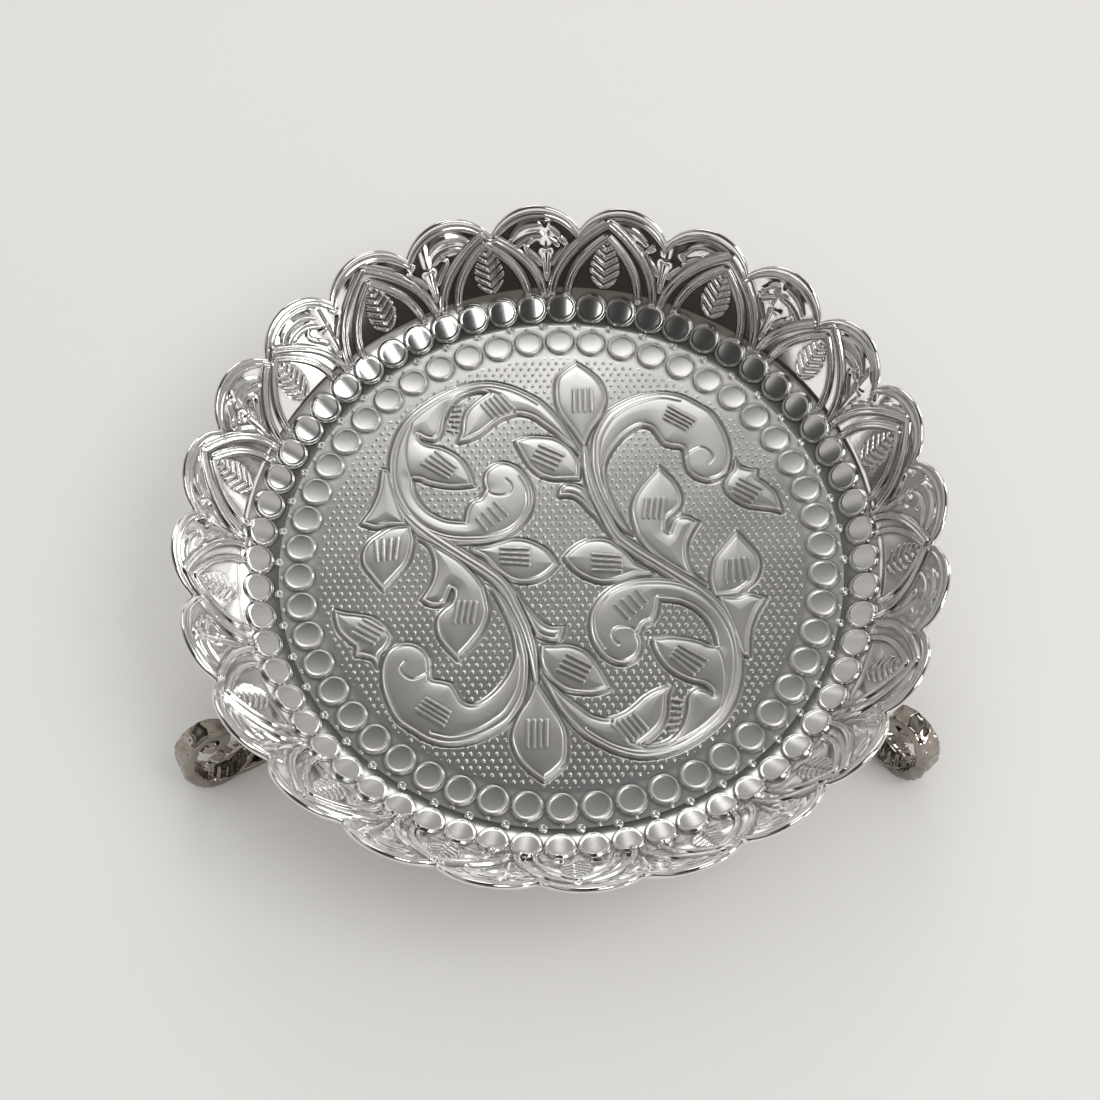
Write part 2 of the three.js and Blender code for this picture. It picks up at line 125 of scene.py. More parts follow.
# Half of the scroll vine: closed outlines, each a list of smooth runs that meet in corners, given as x, y of
# each point in turn. Each run starts where the run before it ends, the first one where the last one ends
OUTLINES = {
    "low_leaf": [
        [-4.9, -61, 0, -69.2, 2, -75.8, 1.8, -85.3, -1.6, -90.2, -6.6, -94.2],
        [-11.8, -90.2, -16.4, -85, -19, -77.9, -18.4, -72.2, -15.6, -65.6, -12.3, -59.9, -9.8, -52.5],
    ],
    "hook": [
        [-23.8, -15.3, -19.2, -23, -15.9, -30.4, -13.8, -37.7, -12.8, -45.6, -13.6, -57.6, -18.4, -68.1,
         -24, -73.2, -32.8, -77.6, -42.3, -79.2, -50.4, -77.6, -57.6, -73.3, -63.2, -68.9, -67.1, -61.7,
         -69.6, -53.6, -69.7, -45.6, -67.1, -39.2, -61.5, -36.4, -55.9, -37.7, -52, -41.7, -51, -46.8],
        [-50.4, -51.7, -45.6, -53, -42.3, -54.5, -40, -58.4, -37.6, -61.7, -33.6, -62.7, -28.7, -60,
         -24, -55.3, -20, -48.9, -18, -42.5, -18.4, -36.1, -20, -29.7, -23.1, -21.7, -27.2, -13.8,
         -29.5, -11.3],
    ],
    "hanging_leaf": [
        [-53.5, 7.1, -51.2, 2.3, -50.4, -3.3, -51.2, -8.9, -53.5, -13.8, -55.6, -17.2],
        [-52, -19.4, -47.9, -19.7, -45.6, -18, -44.6, -15.3, -43.6, -12.5],
        [-42.3, -13.9, -43.1, -18.5, -46.4, -21.7, -48.7, -24.9, -49.2, -28.9, -47.1, -35.3, -40.4, -43.3],
        [-34.5, -36.1, -30.4, -29.7, -28.7, -23.3, -29.2, -18.5, -30.8, -11.8],
        [-33.6, -7.4, -39.4, -0.8, -45.9, 4.1, -52.5, 8.2, -58.4, 11],
    ],
    "side_leaf": [
        [-65.6, -6.6, -61.5, -1, -59.9, 4.8, -59.6, 10.3, -61, 16.4],
        [-68.9, 15.4, -74.3, 11.8, -77.6, 8.7, -79.6, 3.9, -79.1, -1.6, -75.1, -7.4, -70.7, -13],
    ],
    "side_tail": [
        [-74.3, 32.8, -76.8, 24.6, -81.2, 17.2],
        [-74.6, 15.3, -69.6, 16.7, -62.3, 16.4],
        [-66, 26.3, -68.6, 34.5, -70.5, 41.3, -73.5, 42.7],
    ],
    "far_leaf": [
        [-85.5, -23, -80.7, -23.6, -75.1, -24.9, -70.4, -28.1, -67.1, -32.2, -66.8, -35.3, -68.7, -39.2,
         -70.7, -41.7, -71.5, -46.9],
        [-73.5, -43.3, -77.6, -41.7, -80.7, -41.3],
        [-80.4, -37.7, -83.2, -35.3, -87.1, -31.3, -88.8, -27.2, -89.9, -21.7],
    ],
    "inner_leaf": [
        [-30.4, 6.7, -25.6, 8.2, -20, 9.8, -14.4, 9.5, -8.9, 7.1, -4.8, 3.9, -1.1, -1.6],
        [-4.8, -5.7, -9.5, -8.9, -15.3, -9.7, -20, -8.5, -24, -5.7, -27.2, -2.5, -30.4, 1.5, -34.5, 3.9,
         -36.8, 6.2],
    ],
    "thorn": [
        [-14.8, -18.9, -11.2, -23, -7.9, -27.1, -4.1, -29.5, 1, -29.5],
        [0.5, -32.8, -1.6, -35.3, -6.2, -34.8, -9.8, -32.8],
        [-13.5, -24.6, -18, -13.5],
    ],
    "stem_leaf": [
        [-2.5, -37.6, 3.3, -37.6, 9, -39.9, 12.8, -43.8, 15.3, -47.9, 19.2, -55.8],
        [13.9, -57.8, 8.2, -57.9, 2.5, -56.9, -2.1, -54.1, -5.6, -50, -7.9, -44.3, -7.9, -37.7],
    ],
    "crescent": [
        [-5.7, -54.5, -0.8, -64, 4.1, -70.5, 9.8, -76.3, 18, -81.2, 24.6, -83.7, 31.2, -84.8, 39.4, -83.7,
         47.6, -80.4, 55, -75.5, 62.3, -68.9, 67.3, -60.7, 69.7, -52.5, 70.5, -44.3, 69.7, -36.1,
         68.1, -28.7, 64.8, -22.1, 59.9, -17.2, 55, -13.1, 49.2, -10.2, 42.7, -8.5, 34.5, -8.2, 27.9, -9,
         21.3, -11.5, 16.4, -15.6, 13.1, -20.5, 11.5, -25.4, 11.5, -31.2, 13.1, -36.9, 17.2, -42.7,
         22.1, -45.4, 26.3, -45.1, 30.4, -41.8, 31.5, -36.9, 30.5, -32.8],
        [32.8, -28.7, 36.1, -27.1, 38.1, -23, 38.9, -17.7],
        [43, -18, 47.6, -18.9, 53.3, -22.1, 57.4, -26.6, 60, -32, 61, -38.1],
        [57.4, -37.7, 55, -36.4, 49.2, -34.8, 42.7, -34.1, 35.6, -34.8],
        [36.9, -39.7, 39.7, -45.1, 43.5, -49.2, 49.2, -52.5, 55, -54.1, 57.9, -56.3, 58.7, -58.7],
        [55.8, -56.9, 52.2, -56.6, 49.5, -59.4, 48.4, -66.4, 45.9, -73, 41, -77.9, 34.5, -80.1,
         30.4, -79.4],
        [34.8, -75.8, 38.7, -71.4, 40.5, -66.4, 41, -59.9, 42.7, -55.3],
        [37.7, -56.6, 32.8, -59.4, 28.7, -63.2, 24.6, -66.4, 19.7, -68.4, 16.4, -68.9, 11.5, -67.3,
         7.4, -64, 2.5, -59.9, -3.3, -54.1, -7.9, -49.2],
    ],
}

# Main stem: points along its middle with its half width
STEM = [
    (-69.5, 35, 0.6), (-67, 29, 1.5), (-62.6, 21.5, 2.2), (-55.5, 14.2, 2.4), (-47.2, 7.9, 2.4),
    (-38.4, 1.6, 2.3), (-29.5, -4.8, 2.3), (-22.6, -11.3, 2.2), (-18, -20.5, 2.1), (-13.9, -30.3, 2),
    (-11.2, -40.7, 1.7), (-9.8, -52.5, 0.9),
]

# Fine lines chased into the vine, given in the same way
CHASED = {
    "hook_curl": [
        -51, -47.3, -52.8, -49.7, -57.6, -52, -61.2, -50.2, -62.7, -47.3, -61, -44.6,
    ],
    "crescent_curl": [
        30.8, -33.3, 28.2, -30.5, 24.9, -29.7, 21.3, -30.5, 19.9, -32.8, 20.5, -35.3, 22.5, -37.4,
    ],
    "leaf_edge": [
        61, -38.1, 63, -44.3, 63.8, -50.9, 63.3, -57.4, 61.9, -64,
    ],
    "bract_edge": [
        19.2, -69.2, 20.7, -73, 24.6, -77.8, 30.4, -80.1,
    ],
    "crescent_rim": [
        17.2, -38.7, 14.4, -32.8, 13.8, -26.3, 15.8, -20, 20.5, -14.8, 27.6, -11.8, 34.5, -11, 42.7, -11.2,
        49.2, -12.8, 55.8, -16.4, 61.5, -23, 65.3, -30.4, 67.3, -37.7, 67.6, -45.9, 66.6, -54.1,
        63.7, -62.3, 59.1, -68.1, 52.5, -73.8, 45.9, -77.4, 39.4, -80.4, 31.2, -81.9, 23, -80.4,
        16.4, -77.4, 9.8, -73,
    ],
    "hook_rim": [
        -26.3, -17.2, -22.1, -23.8, -19, -31.2, -16.9, -37.7, -15.8, -45.9, -16.7, -55.8, -21, -64.8,
        -26.3, -69.7, -32.8, -73.5, -41.8, -75.8, -50, -74.2,
    ],
}

# Groups of short raised bars: the two ends of the first, the two ends of the last, and how many
BARS = [
    (-12.8, -69.9, -12.8, -80.4, -5.6, -69.6, -5.6, -80.1, 4),
    (-55.9, -64.8, -45.3, -71.7, -52.0, -60.5, -43.1, -66.1, 4),
    (-40.7, -18.7, -42.0, -27.6, -33.6, -19.0, -34.8, -27.6, 4),
    (-82.0, -32.0, -73.5, -36.9, -77.6, -26.1, -69.6, -30.8, 4),
    (-74.6, 9.0, -73.5, 0.0, -65.6, 10.2, -66.4, 0.8, 4),
    (-24.0, 5.3, -12.8, 4.9, -24.0, -1.3, -12.8, -2.3, 4),
    (-1.3, -48.4, 8.5, -53.3, 2.5, -41.8, 11.8, -46.8, 4),
    (21.7, -20.5, 26.6, -26.3, 30.2, -13.9, 33.8, -18.9, 4),
    (43.0, -43.0, 51.2, -50.5, 46.3, -38.1, 56.6, -44.6, 4),
    (19.7, -71.4, 25.4, -78.8, 27.9, -66.8, 32.8, -73.3, 5),
    (42.6, -60.6, 47.0, -61.6, 41.6, -74.2, 44.6, -73.4, 6),
]


class DishSizes(bpy.types.PropertyGroup):
    """Height of the pressed relief and finish of the dish."""

    relief: FloatProperty(name="Relief", description="Share of full height", default=1.0, min=0.2, max=1.2)
    silver: FloatVectorProperty(
        name="Silver", description="Colour of the finish", subtype="COLOR", size=3, default=(0.84, 0.83, 0.81)
    )
    satin: FloatProperty(name="Satin", description="Matt roughness", default=0.33, min=0, max=1)
    polish: FloatProperty(name="Polish", description="Bright roughness", default=0.05, min=0, max=1)


class StudioSettings(bpy.types.PropertyGroup):
    """Floor and lens of the studio."""

    floor_colour: FloatVectorProperty(
        name="Floor", description="Colour of the floor", subtype="COLOR", size=3, default=(0.78, 0.77, 0.75)
    )
    lens: FloatProperty(name="Lens", description="Focal length", subtype="DISTANCE_CAMERA", default=65.59)


# Shape of the sheet


def smooth(low, high, x):
    """0 on low's side, 1 on high's side, and 3t^2 - 2t^3 between them."""
    t = np.clip((x - low) / (high - low), 0, 1)
    return t * t * (3 - 2 * t)


def bell(x, width):
    """exp(-(x/width)^2)."""
    return np.exp(-((x / width) ** 2))


def fold(angle, first, count):
    """Angle from the nearest of count evenly spaced directions, the first of them at first."""
    step = TURN / count
    return (angle - first + step / 2) % step - step / 2


def profile(s):
    """Radius, height and unit normal of the sheet at distance s past the flat well.

    Flat while s <= 0, then a round fillet, then an arc whose slope grows by WALL_BEND a millimetre.
    """
    slope = np.where(s < FILLET_RUN, np.clip(s, 0, None) / FILLET, SLOPE_LOW + WALL_BEND * (s - FILLET_RUN))
    low = np.clip(slope, 0, SLOPE_LOW)
    r = WELL + np.minimum(s, 0) + FILLET * np.sin(low)
    z = FILLET * (1 - np.cos(low))
    high = np.clip(slope, SLOPE_LOW, None)
    r = r + (np.sin(high) - math.sin(SLOPE_LOW)) / WALL_BEND
    z = z + (math.cos(SLOPE_LOW) - np.cos(high)) / WALL_BEND
    return r, z, -np.sin(slope), np.cos(slope)


def distance_at(r):
    """Distance past the well at which the fillet reaches radius r."""
    return FILLET * math.asin((r - WELL) / FILLET)


ARCH_FOOT = distance_at(OUTER_BOSSES[1]) + ARCH_START + 0.8
HALF_CHORD = float(profile(np.array(CREST_RUN))[0]) * math.pi / SCALLOPS
SCALLOP_RADIUS = (HALF_CHORD**2 + SCALLOP_DEPTH**2) / (2 * SCALLOP_DEPTH)


def rim_run(angle):
    """Distance past the well of the edge at an angle: round arcs that meet in notches."""
    across = fold(angle, SCALLOP_TURN + math.pi / SCALLOPS, SCALLOPS) / (math.pi / SCALLOPS)
    return CREST_RUN - SCALLOP_RADIUS + np.sqrt(SCALLOP_RADIUS**2 - (across * HALF_CHORD) ** 2)


def sheet_points(angle, s, height):
    """Points in metres at an angle and a distance past the well, raised along the sheet's normal."""
    r, z, out, up = profile(s)
    reach = r + out * height
    return np.stack([reach * np.cos(angle), reach * np.sin(angle), z + up * height], -1) * MM


# Relief


def curve(points, steps=7):
    """Smooth open curve through points: Catmull-Rom, a cubic between each pair of neighbours."""
    p = np.asarray(points, float)
    p = np.vstack([2 * p[0] - p[1], p, 2 * p[-1] - p[-2]])
    t = np.linspace(0, 1, steps, endpoint=False)[:, None]
    runs = [
        0.5 * (2 * b + (c - a) * t + (2 * a - 5 * b + 4 * c - d) * t**2 + (3 * b - a - 3 * c + d) * t**3)
        for a, b, c, d in zip(p, p[1:], p[2:], p[3:])
    ]
    return np.vstack(runs + [p[-2:-1]])


def nearest(x, y, path):
    """Distance to a path of straight pieces, and the path's third column, if any, at the nearest point."""
    best = np.full(x.shape, 1e9)
    width = np.zeros(x.shape)
    for a, b in zip(path[:-1], path[1:]):
        step = b[:2] - a[:2]
        t = np.clip(((x - a[0]) * step[0] + (y - a[1]) * step[1]) / max(step @ step, 1e-9), 0, 1)
        d = (x - a[0] - t * step[0]) ** 2 + (y - a[1] - t * step[1]) ** 2
        near = d < best
        best = np.where(near, d, best)
        if len(a) > 2:
            width = np.where(near, a[2] + t * (b[2] - a[2]), width)
    return np.sqrt(best), width


def inside(x, y, path):
    """Even-odd test: inside, a ray to the right crosses the closed path an odd number of times."""
    odd = np.zeros(x.shape, bool)
    for (ax, ay), (bx, by) in zip(path[:-1], path[1:]):
        if ay == by:
            continue
        crosses = ((ay > y) != (by > y)) & (x < ax + (y - ay) * (bx - ax) / (by - ay))
        odd ^= crosses
    return odd


def nearby(x, y, path, margin):
    """Which points lie within a margin of a path's box, and their x and y."""
    low, high = path[:, :2].min(0) - margin, path[:, :2].max(0) + margin
    near = (x > low[0]) & (x < high[0]) & (y > low[1]) & (y < high[1])
    return near, x[near], y[near]


def vine_depth(x, y):
    """Distance inside the nearest form of the vine, negative outside, for the half that is drawn."""
    depth = np.full(x.shape, -9.0)
    for runs in OUTLINES.values():
        runs = [np.reshape(run, (-1, 2)) for run in runs]
        path = np.vstack([curve(np.vstack([runs[k - 1][-1], run])) for k, run in enumerate(runs)])
        near, px, py = nearby(x, y, path, 4)
        d, _ = nearest(px, py, path)
        depth[near] = np.maximum(depth[near], np.where(inside(px, py, path), d, -d))
    path = curve(STEM)
    near, px, py = nearby(x, y, path, 4)
    d, width = nearest(px, py, path)
    depth[near] = np.maximum(depth[near], width - d)
    return depth


def path_distance(x, y, paths, margin):
    """Distance to the nearest of several paths, or 9 far from all of them."""
    best = np.full(x.shape, 9.0)
    for path in paths:
        near, px, py = nearby(x, y, path, margin)
        best[near] = np.minimum(best[near], nearest(px, py, path)[0])
    return best


def line_distance(x, y, lines):
    """Distance to the nearest of several curves."""
    return path_distance(x, y, [curve(np.reshape(points, (-1, 2))) for points in lines], 3)


def bar_distance(x, y):
    """Distance to the nearest short bar of the half that is drawn."""
    rows = []
    for *ends, count in BARS:
        first, last = np.reshape(ends, (2, 2, 2))
        rows += [first + (last - first) * share for share in np.linspace(0, 1, count)]
    return path_distance(x, y, rows, 2)


def both_halves(measure, x, y, pick):
    """A measure of the drawn half and of the same half turned by half a turn, joined by pick."""
    return pick(measure(x, y), measure(-x, -y))


def dots(x, y, pitch):
    """Distance to the nearest point of a triangular lattice: the nearer of two square-cornered lattices."""
    rise = pitch * math.sqrt(3)

    def grid(u, v):
        return np.hypot((u + pitch / 2) % pitch - pitch / 2, (v + rise / 2) % rise - rise / 2)

    return np.minimum(grid(x, y), grid(x + pitch / 2, y + rise / 2))


def boss(rho, reach, dome):
    """Height of a boss at distance rho from its middle: a disc with a thin raised rim, domed or dished."""
    disc = 1.1 * (1 - smooth(reach - 0.25, reach + 0.5, rho))
    rim = 0.18 * bell(rho - reach + 0.5, 0.42)
    return disc + rim + dome * np.clip(1 - (rho / (reach - 0.6)) ** 2, 0, 1)


def boss_ring(angle, along, ring):
    """Heights of one ring of bosses; along is the distance from the ring measured on the sheet."""
    count, radius, first, reach, dome = ring
    return boss(np.hypot(fold(angle, first, count) * radius, along), reach, dome)


def pellets(angle, s):
    """Small ringed pellets and pips between the two rings of bosses."""
    count, _, first, _, _ = INNER_BOSSES
    middle = fold(angle, first + math.pi / count, count) * WELL
    rho = np.hypot(middle, s - 0.2)
    pellet = 0.55 * (1 - smooth(1.1, 1.7, rho)) - 0.35 * bell(rho - 0.2, 0.5)
    pip = 0.3 * (1 - smooth(0.35, 0.9, np.hypot(fold(angle, first, count) * WELL, s + 0.9)))
    return pellet + pip


def sway(x, y, z, size):
    """Slow unevenness of hand-finished sheet: a sum of sines along fixed directions, about -1 to 1."""
    waves = ((1.0, 0.3, 0.2, 0.0), (-0.4, 0.9, 0.3, 1.7), (0.6, -0.7, 0.5, 4.1), (0.2, 0.5, -0.9, 2.6),
             (-0.9, -0.2, 0.6, 5.3))
    total = sum(np.sin(TURN * (a * x + b * y + c * z) / size / (1 + 0.23 * k) + d)
                for k, (a, b, c, d) in enumerate(waves))
    return total / len(waves)


def well_relief(x, y):
    """Height of the relief inside the flat well, and how matt it is: least on the dotted ground."""
    r, angle = np.hypot(x, y), np.arctan2(y, x)
    depth = both_halves(vine_depth, x, y, np.maximum)
    chased = both_halves(lambda u, v: line_distance(u, v, CHASED.values()), x, y, np.minimum)
    bars = both_halves(bar_distance, x, y, np.minimum)
    crown = VINE_CROWN * (1 - np.exp(-np.clip(depth, 0, None) / 2.9))
    height = VINE_HEIGHT * smooth(-0.45, 0.4, depth) + crown
    height += 0.2 * bell(depth - 0.45, 0.36) - 0.26 * bell(depth - 1.25, 0.36) - 0.3 * bell(depth + 0.7, 0.42)
    height -= 0.34 * bell(chased, 0.42) * smooth(0, 0.8, depth)
    height += 0.62 * (1 - smooth(0.3, 0.85, bars))
    field = smooth(-1.1, -1.7, depth) * (1 - smooth(MEDALLION - 2.5, MEDALLION - 0.5, r))
    height += DOT_HEIGHT * field * (1 - smooth(0.25, 0.8, dots(x, y, DOT_PITCH)))
    height += boss_ring(angle, r - INNER_BOSSES[1], INNER_BOSSES) + pellets(angle, r - WELL)
    ground = 0.95 - 0.2 * smooth(0.2, -0.5, depth) * (1 - smooth(MEDALLION, MEDALLION + 2, r))
    uneven = (sway(x, y, 0 * x, 27) + sway(-x, -y, 0 * x, 27)) / 2
    return height + 0.15 * uneven * smooth(WELL, WELL - 6, r), ground


def arch_tops(centre):
    """Distances past the well of an arch's outer and inner apexes, which rise a little under a crest."""
    edge = rim_run(centre)
    outer = np.minimum(edge - APEX_CLEAR, OUTER_TOP + 0.36 * (edge - OUTER_TOP))
    return outer, INNER_TOP + 0.28 * (outer - 44)


def arch_line(offset, s, half, top):
    """Signed distance across one arch's line, whose half width falls to its top.

    At share u of the way up, the half width is 1 - 0.12u - 0.88u^2 of the width at the foot.
    """
    share = np.clip((s - ARCH_FOOT) / (top - ARCH_FOOT), -0.2, 1.3)
    middle = half * (1 - 0.12 * share - 0.88 * share**2)
    lean = half * ARCH_RADIUS * (0.12 + 1.76 * share) / (top - ARCH_FOOT)
    return (np.abs(offset) - middle) * ARCH_RADIUS / np.sqrt(1 + lean**2)


def band(across, width, height):
    """Raised band with a low round ridge on each edge and a shallow hollow between them."""
    inside_band = 1 - smooth(width / 2 - 0.3, width / 2 + 0.6, np.abs(across))
    ridges = bell(np.abs(across) - width / 2 + 0.5, 0.6)
    return height * (0.65 * inside_band + 0.35 * ridges)


def fern(u, v, long):
    """Fern leaf between a low base and a tip: slanting leaflets on each side of a middle line.

    u is measured across and v up the wall from the leaf's base, in millimetres.
    """
    share = np.clip(v / long, 0, 1)
    half = FERN_HALF * np.sin(math.pi * share**0.75) ** 0.8
    within = (v > 0) & (v < long)
    body = smooth(-0.3, 0.6, half - np.abs(u)) * within
    bars = 0.5 + 0.5 * np.cos(TURN * (v - np.abs(u) * 0.75) / FERN_PITCH)
    gap = 1 - 0.8 * bell(np.abs(u), 0.6)
    return body * (0.05 + 0.85 * smooth(0.25, 0.8, bars) * gap)


def wall_relief(angle, s):
    """Height of the relief on the fillet and the wall."""
    edge = rim_run(angle)
    offset = fold(angle, ARCH_TURN, ARCHES)
    outer_top, inner_top = arch_tops(angle - offset)
    height = boss_ring(angle, s - distance_at(OUTER_BOSSES[1]), OUTER_BOSSES) + pellets(angle, s)
    rise = smooth(ARCH_FOOT - 2.5, ARCH_FOOT + 0.5, s)
    outer = arch_line(offset, s, OUTER_ARCH, outer_top)
    inner = arch_line(offset, s, INNER_ARCH, inner_top)
    outer_line = band(outer, ARCH_BAND, OUTER_RISE) * (1 - smooth(0.2, 1.4, s - outer_top))
    inner_line = band(inner, INNER_BAND, INNER_RISE) * (1 - smooth(0.2, 1.2, s - inner_top))
    height += np.maximum(outer_line, inner_line) * rise
    clear = smooth(0.2, 1.0, -inner - ARCH_BAND * 0.4)
    height += fern(offset * ARCH_RADIUS, s - FERN_FOOT, inner_top - FERN_CLEAR - FERN_FOOT) * clear
    # spandrels: a bud on a stem between neighbouring arches, and a curl to each side of it
    side = fold(angle, ARCH_TURN + math.pi / ARCHES, ARCHES) * SPANDREL_RADIUS
    free = smooth(0.3, 1.6, outer - ARCH_BAND * 0.4)
    stem = 0.8 * bell(side, 1.0 + 0.9 * smooth(25, 36, s)) * smooth(20, 25, s)
    bud = 1.0 * bell(np.hypot(side / 2.6, (s - BUD_AT) / 3.2), 0.8)
    strokes = 0.6 * bell(line_distance(side, s, SPANDREL_STROKES), 0.8)
    # lobes: a cushion under the edge with a line inside the edge and broad strokes on it
    lobe = fold(angle, SCALLOP_TURN + math.pi / SCALLOPS, SCALLOPS) * LOBE_RADIUS
    below = edge - s
    cushion = 0.7 * bell(np.hypot(lobe / 8.5, (below - 9) / 4.5), 0.8)
    strokes = np.maximum(strokes, 0.5 * bell(line_distance(lobe, below, LOBE_STROKES), 0.95))
    height += (cushion + np.maximum(np.maximum(stem, bud), strokes)) * free * smooth(4.8, 6.2, below)
    height += 0.5 * bell(below - 4.1, 0.7)
    return height


def wall_surface(angle, s, relief):
    """Points of the wall and their heights: the relief, slowly uneven, run into the start of the bead."""
    height = wall_relief(angle, s) * relief
    x, y, z = np.moveaxis(sheet_points(angle, s, height), -1, 0) / MM
    height = height + 0.07 * sway(x, y, z, 19) * smooth(0, 6, s)
    start = BEAD * math.sin(BEAD_FROM) - SHEET / 2
    edge = rim_run(angle) - BEAD * (1 - math.cos(BEAD_FROM))
    height = height + (start - height) * smooth(2.2, 0.0, edge - s)
    return sheet_points(angle, s, height), height


def bead_surface(angle, turn):
    """Rolled bead over the edge: a circle of radius BEAD carried round the rim."""
    s = rim_run(angle) - BEAD * (1 - np.cos(turn))
    return sheet_points(angle, s, BEAD * np.sin(turn) - SHEET / 2)


def normals(points, along, across):
    """Unit normals: the cross product of the steps from each point to two close neighbours of its own."""
    n = np.cross(along - points, across - points)
    return n / np.linalg.norm(n, axis=-1, keepdims=True)


# Meshes


def cells(index):
    """Two triangles for each cell of a grid of point indices."""
    a, b, c, d = index[:-1, :-1], index[:-1, 1:], index[1:, 1:], index[1:, :-1]
    return np.vstack([np.stack(corners, -1).reshape(-1, 3) for corners in ((a, b, c), (a, c, d))])


def border(index):
    """Indices once round a grid's edge, first along its first row."""
    return np.concatenate([index[0, :-1], index[:-1, -1], index[-1, :0:-1], index[:0:-1, 0]])


def shell(top, back):
    """Closed shell of a fine upper grid, a coarser lower grid and a wall of triangles round both.

    Returns points, triangles and which triangles belong to the wall.
    """
    points = np.vstack([top.reshape(-1, 3), back.reshape(-1, 3)])
    index = np.arange(len(points))
    above = index[: top[..., 0].size].reshape(top.shape[:2])
    below = index[top[..., 0].size :].reshape(back.shape[:2])
    fine, coarse = border(above), border(below)
    ratio = len(fine) // len(coarse)
    step = np.arange(len(coarse)) * ratio
    around = [fine[(step + k) % len(fine)] for k in range(ratio + 1)]
    after = np.roll(coarse, -1)
    fans = [np.stack([around[k], coarse, around[k + 1]], -1) for k in range(ratio - 1)]
    fans += [np.stack([around[-2], coarse, after], -1), np.stack([around[-2], after, around[-1]], -1)]
    sheets = np.vstack([cells(above), cells(below)[:, ::-1]])
    faces = np.vstack([sheets, *fans])
    return points, faces, np.arange(len(faces)) >= len(sheets)


def new_piece(name, points, faces, flat, material, replaced, facing=None):
    """facing gives the points' own normals, so that pieces that meet along a seam shade as one surface.
    """
    a, b, c = (points[faces[:, k]] for k in range(3))
    if np.einsum("ij,ij->i", a, np.cross(b, c)).sum() < 0:
        faces = faces[:, ::-1]
    mesh = bpy.data.meshes.new(name)
    mesh.vertices.add(len(points))
    mesh.vertices.foreach_set("co", np.ascontiguousarray(points, np.float32).ravel())
    mesh.loops.add(3 * len(faces))
    mesh.loops.foreach_set("vertex_index", np.ascontiguousarray(faces, np.int32).ravel())
    mesh.polygons.add(len(faces))
    mesh.polygons.foreach_set("loop_start", np.arange(0, 3 * len(faces), 3, dtype=np.int32))
    mesh.update(calc_edges=True)
    if mesh.validate():
        raise ValueError(f"{name} has faulty faces")
    mesh.polygons.foreach_set("use_smooth", ~flat)
    if facing is not None:
        mesh.normals_split_custom_set_from_vertices(facing)
    mesh.materials.append(material)
    piece = bpy.data.objects.new(name, mesh)
    bpy.context.scene.collection.objects.link(piece)
    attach(piece, ROOT)
    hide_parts(replaced)
    return piece


def paint(piece, name, values):
    """Stores one number for each point of a piece, for its material to read."""
    layer = piece.data.attributes.new(name, "FLOAT", "POINT")
    layer.data.foreach_set("value", np.ascontiguousarray(values, np.float32).ravel())


def disc_points(u, v, radius):
    """Square to disc, keeping areas: rings of the square become circles, after the concentric map.

    Where |u| > |v| the radius is u and the angle v/u of an eighth turn; elsewhere the two change places.
    """
    wide = np.abs(u) > np.abs(v)
    safe_u, safe_v = np.where(u == 0, 1e-9, u), np.where(v == 0, 1e-9, v)
    r = np.where(wide, u, v) * radius
    angle = np.where(wide, math.pi / 4 * v / safe_u, math.pi / 2 - math.pi / 4 * u / safe_v)
    return r * np.cos(angle), r * np.sin(angle)


# Materials


def node(tree, kind, place, *first, **named):
    """Adds a shader node, whose inputs and properties are given as values or as other nodes' sockets."""
    made = tree.nodes.new(kind)
    made.location = place
    for key, value in (*enumerate(first), *named.items()):
        if isinstance(value, bpy.types.NodeSocket):
            tree.links.new(value, made.inputs[key])
        elif isinstance(key, int) or key in made.inputs:
            made.inputs[key].default_value = value
        else:
            setattr(made, key, value)
    return made


def maths(tree, place, operation, first, second, **named):
    """Result of a maths node on two values or sockets."""
    return node(tree, "ShaderNodeMath", place, first, second, operation=operation, **named).outputs[0]


def metal_stain_and_shade_group():
    """Group that turns a scale and strengths into a tint, a roughness change and a fine height; the tint
    darkens in random stains and where shade is painted into the hollows.
    """
    name = "metal_stain_and_shade"
    if name in bpy.data.node_groups:
        return bpy.data.node_groups[name]
    tree = bpy.data.node_groups.new(name, "ShaderNodeTree")
    face = tree.interface
    for label, default in (("Scale", 60.0), ("Dark", 0.3), ("Blur", 0.1), ("Hollow", 0.0)):
        face.new_socket(label, in_out="INPUT", socket_type="NodeSocketFloat").default_value = default
    for label in ("Tint", "Roughness", "Height"):
        face.new_socket(label, in_out="OUTPUT", socket_type="NodeSocketFloat")
    given = node(tree, "NodeGroupInput", (-900, 0)).outputs
    place = node(tree, "ShaderNodeTexCoord", (-900, 300)).outputs["Object"]
    finer = maths(tree, (-750, -100), "MULTIPLY", given["Scale"], 9.0)
    cloud, fine = (
        node(tree, "ShaderNodeTexNoise", (-600, y), Vector=place, Scale=s, Detail=d, Roughness=r).outputs[0]
        for y, s, d, r in ((300, given["Scale"], 5.0, 0.6), (0, finer, 3.0, 0.5))
    )
    stain = node(tree, "ShaderNodeMapRange", (-350, 300), cloud, 0.42, 0.7).outputs["Result"]
    dark = maths(tree, (-100, 300), "MULTIPLY", stain, given["Dark"])
    # painted shade: the hollows are darkened on top of the random stains
    both = maths(tree, (100, 300), "ADD", dark, given["Hollow"], use_clamp=True)
    tint = maths(tree, (300, 300), "SUBTRACT", 1.0, both)
    blur = maths(tree, (-100, 0), "MULTIPLY", cloud, given["Blur"])
    node(tree, "NodeGroupOutput", (700, 0), Tint=tint, Roughness=blur, Height=fine)
    return tree


